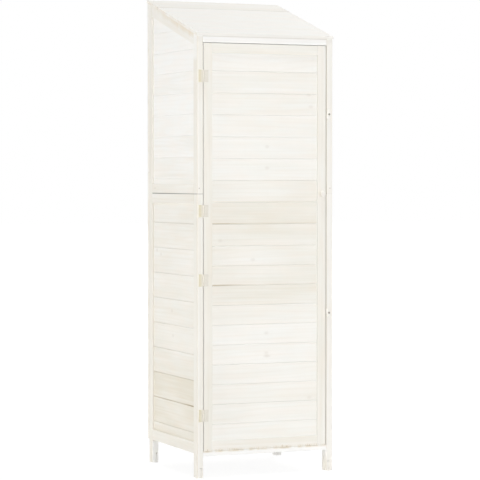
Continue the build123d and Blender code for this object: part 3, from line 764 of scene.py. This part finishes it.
def circle(radius, segments):
    """Points (u, v) of a circle."""
    turns = [2 * math.pi * i / segments for i in range(segments)]
    return [(radius * math.cos(turn), radius * math.sin(turn)) for turn in turns]


def loft(shape, rings, place):
    """Closed skin over a list of rings of (x, y, z) points, put in place by a matrix."""
    rows = [[shape.verts.new(place @ Vector(point)) for point in ring] for ring in rings]
    for lower, upper in zip(rows, rows[1:]):
        for i in range(len(lower)):
            j = (i + 1) % len(lower)
            shape.faces.new((lower[i], lower[j], upper[j], upper[i]))
    shape.faces.new(rows[0][::-1])
    shape.faces.new(rows[-1])


def head(shape, place, radius, recess, segments=HEAD_SEGMENTS):
    """Low domed fastener head; recess is the depth of a cross in it, or 0 for a nail."""
    rise = HEAD_RISE * radius
    arm = CROSS_ARM * radius
    reach = CROSS_REACH * radius
    rings = []
    for share in HEAD_RINGS:
        ring = []
        for u, v in circle(share * radius, segments):
            z = rise * (1 - share**2)
            if recess and min(abs(u), abs(v)) < arm and max(abs(u), abs(v)) < reach:
                z -= recess
            ring.append((u, v, z))
        rings.append(ring)
    skirt = [(u, v, -rise) for u, v, z in rings[0]]
    loft(shape, [skirt] + rings, place)


def hinge_screws(side):
    """Mesh maker for the screws of the post or door leaves."""
    def make(shape):
        for spot in HINGES:
            low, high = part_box(f"{spot}_hinge_{side}_leaf")
            x = low.x + LEAF_SCREW_INSET if side == "post" else high.x - LEAF_SCREW_INSET
            middle = (low.z + high.z) / 2
            for turn, z in enumerate((middle - LEAF_SCREW_SPREAD, middle + LEAF_SCREW_SPREAD)):
                place = on_face((x, high.y - LEAF_THICKNESS, z), (0, -1, 0))
                angle = SPIN_START + SPIN_STEP * turn + SPIN_PER_METRE * middle
                spin = Matrix.Rotation(math.radians(angle), 4, "Z")
                head(shape, place @ spin, HINGE_SCREW_RADIUS, CROSS_DEPTH * HINGE_SCREW_RADIUS)
    return make


def seam_screws(shape):
    """Screws that hold the upper half's rails: one in each front post and one in each side."""
    z = SEAM + SEAM_SCREW_RISE
    recess = CROSS_DEPTH * SEAM_SCREW_RADIUS
    for x in (LEFT_FACE + SEAM_SCREW_INSET, RIGHT_FACE - SEAM_SCREW_INSET):
        head(shape, on_face((x, FRONT_FACE, z), (0, -1, 0)), SEAM_SCREW_RADIUS, recess)
    for x, out in ((LEFT_FACE, -1), (RIGHT_FACE, 1)):
        head(shape, on_face((x, SIDE_SCREW_Y, z), (out, 0, 0)), SEAM_SCREW_RADIUS, recess)


def nail(shape, place):
    """One plain nail head."""
    head(shape, place, NAIL_RADIUS, 0.0, NAIL_SEGMENTS)


def back_nails(shape):
    """Two nails at each end of each back board, over the rear posts."""
    for node in ("back_lower_boards", "back_upper_boards"):
        for low, high in spans(node, AXIS["z"]):
            inset = NAIL_SHARE * (high - low)
            for x in (LEFT_FACE + NAIL_INSET, RIGHT_FACE - NAIL_INSET):
                for z in (low + inset, high - inset):
                    nail(shape, on_face((x, BACK_FACE, z), (0, 1, 0)))


def roof_nails(shape):
    """Two nails at each end of each roof board, over the sloping rails."""
    normal = Vector((0, -ROOF_RISE, 1)).normalized()
    for start, end in spans("roof_boards", AXIS["y"]):
        inset = NAIL_SHARE * (end - start)
        for y in (start + inset, end - inset):
            z = ROOF_FRONT_TOP + ROOF_RISE * (y - ROOF_LOW.y)
            for x in (LEFT_FACE + NAIL_INSET, RIGHT_FACE - NAIL_INSET):
                nail(shape, on_face((x, y, z), normal))


def torn_edge(shape):
    """Torn fibres along the lower front edge of the door, which hang into the gap over the rail."""
    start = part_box("door_hinge_stile")[0].x
    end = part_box("door_latch_stile")[1].x
    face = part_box("door_bottom_rail")[0].y
    back = face + TORN_DEPTH
    draw = random.Random("torn edge")
    rings = []
    for i in range(TORN_COUNT + 1):
        x = start + (end - start) * i / TORN_COUNT
        low = DOOR_BOTTOM - draw.uniform(*TORN_DROP)
        high = DOOR_BOTTOM + draw.uniform(*TORN_RISE)
        front = face - draw.uniform(*TORN_PROUD)
        shoulder = (DOOR_BOTTOM + high) / 2
        outline = ((back, high), (back, low), (front, low), (front, shoulder), (face, high))
        rings.append([(x, y, z) for y, z in outline])
    loft(shape, rings, Matrix.Identity(4))


def knob(shape):
    """Turned knob: a small foot, a waist and a round head, within the CAD knob's size."""
    low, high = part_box("door_knob")
    radius = (high.z - low.z) / 2
    length = high.y - low.y
    place = on_face(((low.x + high.x) / 2, high.y, (low.z + high.z) / 2), (0, -1, 0))
    rings = []
    for share, height in KNOB_PROFILE:
        rings.append([(u, v, height * length) for u, v in circle(share * radius, KNOB_SEGMENTS)])
    loft(shape, rings, place)


def button(which):
    """Mesh maker for an oval turn button with rounded edges, where its CAD node is."""
    def make(shape):
        low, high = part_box(f"{which}_turn_button")
        thickness = high.y - low.y
        half = BUTTON_WIDTH / 2
        straight = BUTTON_LENGTH / 2 - half
        levels = [(0.0, 0.0)]
        for i in range(ROUND_STEPS + 1):
            angle = math.radians(90 * i / ROUND_STEPS)
            inset = BUTTON_ROUND * (1 - math.cos(angle))
            levels.append((inset, thickness - BUTTON_ROUND * (1 - math.sin(angle))))
        rings = []
        for inset, height in levels:
            ring = []
            for end in (1, -1):
                for i in range(BUTTON_ARC + 1):
                    angle = math.pi * (i / BUTTON_ARC - 0.5)
                    u = end * (straight + (half - inset) * math.cos(angle))
                    v = end * (half - inset) * math.sin(angle)
                    ring.append((u, v, height))
            rings.append(ring)
        centre = Matrix.Translation(((low.x + high.x) / 2, high.y, (low.z + high.z) / 2))
        tilt = Matrix.Rotation(math.radians(BUTTON_TILT[which] - 90), 4, "Y")
        loft(shape, rings, centre @ tilt @ FACE_FRONT)
    return make


def button_heads(shape):
    """Screw heads and necks that the turn buttons turn on, in place of the plain CAD screws."""
    low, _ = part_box("turn_button_screws")
    rim = low.y + HEAD_RISE * BUTTON_SCREW_RADIUS
    ring = circle(BUTTON_SCREW_RADIUS, HEAD_SEGMENTS)
    neck = [[(u, v, z) for u, v in ring] for z in (-BUTTON_SCREW_NECK, 0.0)]
    for joint in frame["joints"]:
        if joint["name"].endswith("_button_turn"):
            x, _, z = joint["pos_m"]
            place = on_face((x, rim, z), (0, -1, 0))
            head(shape, place, BUTTON_SCREW_RADIUS, DEEP_CROSS * BUTTON_SCREW_RADIUS)
            loft(shape, neck, place)


# Wood of each group of nodes
# Painted light: pale wash painted into gaps and corners, where shade falls
PAINTED_FLAT_GAP_LIGHT = {"painted_corner_shading": FLAT_GAP_PAINTED_LIGHT, "corner": THICK_WASH_AND_PAINTED_LIGHT}
PAINTED_UPRIGHT_GAP_LIGHT = {"painted_corner_shading": UPRIGHT_GAP_PAINTED_LIGHT, "corner": THICK_WASH_AND_PAINTED_LIGHT}
dress(wood("front_post_wood", "z", show=0.26, marks=post_marks, **PAINTED_UPRIGHT_GAP_LIGHT),
      *both("lower_front_post", "upper_front_post"))
dress(wood("rear_post_wood", "z", show=0.48, marks=rear_post_marks, painted_corner_shading=0.06),
      *both("lower_rear_post", "upper_rear_post"))
dress(wood("side_rail_wood", "y", show=0.44, marks=seam_marks, painted_corner_shading=0.20),
      *both("lower_top_rail", "upper_bottom_rail"))
dress(wood("foot_rail_wood", "y", show=0.62, painted_corner_shading=0.05), *both("lower_bottom_rail"))
dress(wood("sloping_rail_wood", "y", show=0.26, marks=slope_marks, painted_corner_shading=0.20, tilt=math.atan(ROOF_RISE)),
      *both("sloping_rail"))
dress(wood("eave_rail_wood", "x", show=-0.15, marks=eave_marks, wash=THICK_WASH_AND_PAINTED_LIGHT, **PAINTED_FLAT_GAP_LIGHT),
      "front_top_rail")
dress(wood("sill_rail_wood", "x", show=-0.15, marks=sill_marks, wash=THICK_WASH_AND_PAINTED_LIGHT, **PAINTED_FLAT_GAP_LIGHT),
      "front_floor_rail")
dress(wood("cross_rail_wood", "x", show=0.10), "rear_top_rail", "rear_floor_rail")
dress(wood("hinge_stile_wood", "z", show=0.47, **PAINTED_UPRIGHT_GAP_LIGHT), "door_hinge_stile")
dress(wood("latch_stile_wood", "z", show=0.36, marks=latch_stile_marks, painted_corner_shading=0.10, corner=STEP_SHADE),
      "door_latch_stile")
dress(wood("door_rail_wood", "x", show=0.42, marks=edge_marks, **PAINTED_FLAT_GAP_LIGHT),
      "door_top_rail", "door_bottom_rail")
dress(wood("door_board_wood", "x", show=0.13, boards="door_boards", stack="z", bare=DOOR_BARE,
           marks=door_marks, dirt=0.0, dirty=DOOR_DIRT, **PAINTED_FLAT_GAP_LIGHT), "door_boards")
dress(wood("lower_side_wood", "y", show=0.37, boards="left_lower_boards", stack="z", bare=LOWER_SIDE_BARE,
           marks=side_marks, dirty=SIDE_DIRT, painted_corner_shading=0.18), *both("lower_boards"))
dress(wood("upper_side_wood", "y", show=-0.16, boards="left_upper_boards", stack="z", bare=UPPER_SIDE_BARE,
           dirt=0.0, wash=SIDE_WASH, **PAINTED_FLAT_GAP_LIGHT), *both("upper_boards"))
dress(wood("lower_back_wood", "x", show=0.22, boards="back_lower_boards", stack="z", end=0.15),
      "back_lower_boards")
dress(wood("upper_back_wood", "x", show=0.16, boards="back_upper_boards", stack="z", end=0.15),
      "back_upper_boards")
dress(wood("roof_wood", "x", show=-0.05, boards="roof_boards", stack="y", bare=ROOF_BARE, marks=roof_marks,
           end=0.5, painted_corner_shading=0.10), "roof_boards")
dress(wood("floor_wood", "y", show=0.30, boards="floor_boards", stack="x"), "floor_boards")
dress(wood("shelf_wood", "x", show=0.30, boards="shelf_boards", stack="y"), "shelf_boards")
dress(wood("cleat_wood", "y", show=0.35), *both("shelf_cleat"))
dress(wood("upright_stop_wood", "z", show=0.10, **PAINTED_UPRIGHT_GAP_LIGHT), *both("door_stop"))
dress(wood("cross_stop_wood", "x", show=0.10, **PAINTED_FLAT_GAP_LIGHT), "top_door_stop")

# Wood of the pieces that are made here
CLEAN = {"end": 0.0, "painted_corner_shading": 0.0}
torn_wood = wood("torn_wood", "x", show=0.10, marks=torn_marks, wash=THICK_WASH_AND_PAINTED_LIGHT, **CLEAN)
knob_wood = wood("knob_wood", "z", show=0.22, marks=knob_marks, **CLEAN)
button_wood = wood("button_wood", "z", show=0.16, **CLEAN)

# Metal: the gold of a post leaf fades to dull grey at its knuckle
gold_end = (PLATE_EDGE + GOLD_FADE[0], PLATE_EDGE + GOLD_FADE[1], GREY_ZINC[1])
gold_plate = metal("gold_zinc", GOLD_ZINC, beyond=gold_end, **ZINC_FINISH)
grey_plate = metal("grey_zinc", GREY_ZINC, **ZINC_FINISH)
dark_steel = metal("dark_steel", DARK_STEEL, **STEEL_FINISH)
screw_steel = metal("screw_steel", SCREW_STEEL, **STEEL_FINISH)
nail_steel = metal("nail_steel", NAIL_STEEL, **STEEL_FINISH)
for spot in HINGES:
    dress(gold_plate, f"{spot}_hinge_post_leaf")
    dress(grey_plate, f"{spot}_hinge_door_leaf")
dress(grey_plate, "turn_button_washers")

# Fasteners and torn fibres, too small for the CAD model, and rounder forms of its smallest pieces
piece("hinge_post_screws", hinge_screws("post"), gold_plate, "shed")
piece("hinge_door_screws", hinge_screws("door"), grey_plate, "door")
piece("seam_screws", seam_screws, screw_steel, "shed")
piece("door_torn_edge", torn_edge, torn_wood, "door", smooth=False)
piece("back_nails", back_nails, nail_steel, "shed")
piece("roof_nails", roof_nails, nail_steel, "shed")
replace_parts(piece("turned_knob", knob, knob_wood, "door"), "door_knob")
for which in ("upper", "lower"):
    made = piece(f"rounded_{which}_button", button(which), button_wood, f"{which}_button")
    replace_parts(made, f"{which}_turn_button")
made = piece("button_screw_heads", button_heads, dark_steel, "shed")
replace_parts(made, "turn_button_screws")

# Floor, which keeps the shadow near the shed but shows near white
floor_mesh = bpy.data.meshes.new("floor")
corners = [(u * FLOOR_HALF, v * FLOOR_HALF, 0.0) for u, v in ((-1, -1), (1, -1), (1, 1), (-1, 1))]
floor_mesh.from_pydata(corners, [], [(0, 1, 2, 3)])
floor = bpy.data.objects.new("floor", floor_mesh)
bpy.context.scene.collection.objects.link(floor)
paint = bpy.data.materials.new("floor_paint")
floor_mesh.materials.append(paint)
tree = Tree(paint)
matt = tree.add("BsdfDiffuse", Color=FLOOR_COLOUR)
white = tree.add("Emission", Color=WHITE, Strength=FLOOR_WHITE)
distance = tree.add("VectorMath", Vector=tree.add("TexCoord").outputs["Object"])
distance.operation = "LENGTH"
whitening = tree.fade(distance.outputs["Value"], *SHADOW_REACH, low=FLOOR_WHITENING)
cover = tree.add("MixShader", Fac=tree.math("MULTIPLY", seen_directly(tree), whitening))
tree.put(cover.inputs[1], matt.outputs[0])
tree.put(cover.inputs[2], white.outputs[0])
tree.finish(cover)

# Sky: even light on the shed, white behind it
world = bpy.data.worlds.new("sky")
bpy.context.scene.world = world
tree = Tree(world)
strength = tree.math("MULTIPLY_ADD", seen_directly(tree), SKY_SEEN - SKY_LIGHT, SKY_LIGHT)
tree.finish(tree.add("Background", Color=WHITE, Strength=strength), "OutputWorld")

# Lamps
for name, (azimuth, elevation, share, width) in LAMPS.items():
    lamp_data = bpy.data.lights.new(name, "AREA")
    lamp_data.energy = share * (math.pi * LAMP_DISTANCE) ** 2
    lamp_data.shape = "RECTANGLE"
    lamp_data.size = width
    lamp_data.size_y = LAMP_SIZE
    lamp = bpy.data.objects.new(name, lamp_data)
    level = math.cos(math.radians(elevation))
    way = Vector((math.sin(math.radians(azimuth)) * level, -math.cos(math.radians(azimuth)) * level,
                  math.sin(math.radians(elevation))))
    lamp.location = Vector(LAMP_AIM) + LAMP_DISTANCE * way
    lamp.rotation_euler = way.to_track_quat("Z", "Y").to_euler()
    lamp.visible_camera = False
    bpy.context.scene.collection.objects.link(lamp)

# Camera
camera_data = bpy.data.cameras.new("camera")
camera_data.lens = LENS
camera = bpy.data.objects.new("camera", camera_data)
camera.location = CAMERA_PLACE
camera.rotation_euler = Euler([math.radians(angle) for angle in CAMERA_TURN])
bpy.context.scene.collection.objects.link(camera)
bpy.context.scene.camera = camera
bpy.context.scene.view_settings.view_transform = "Standard"
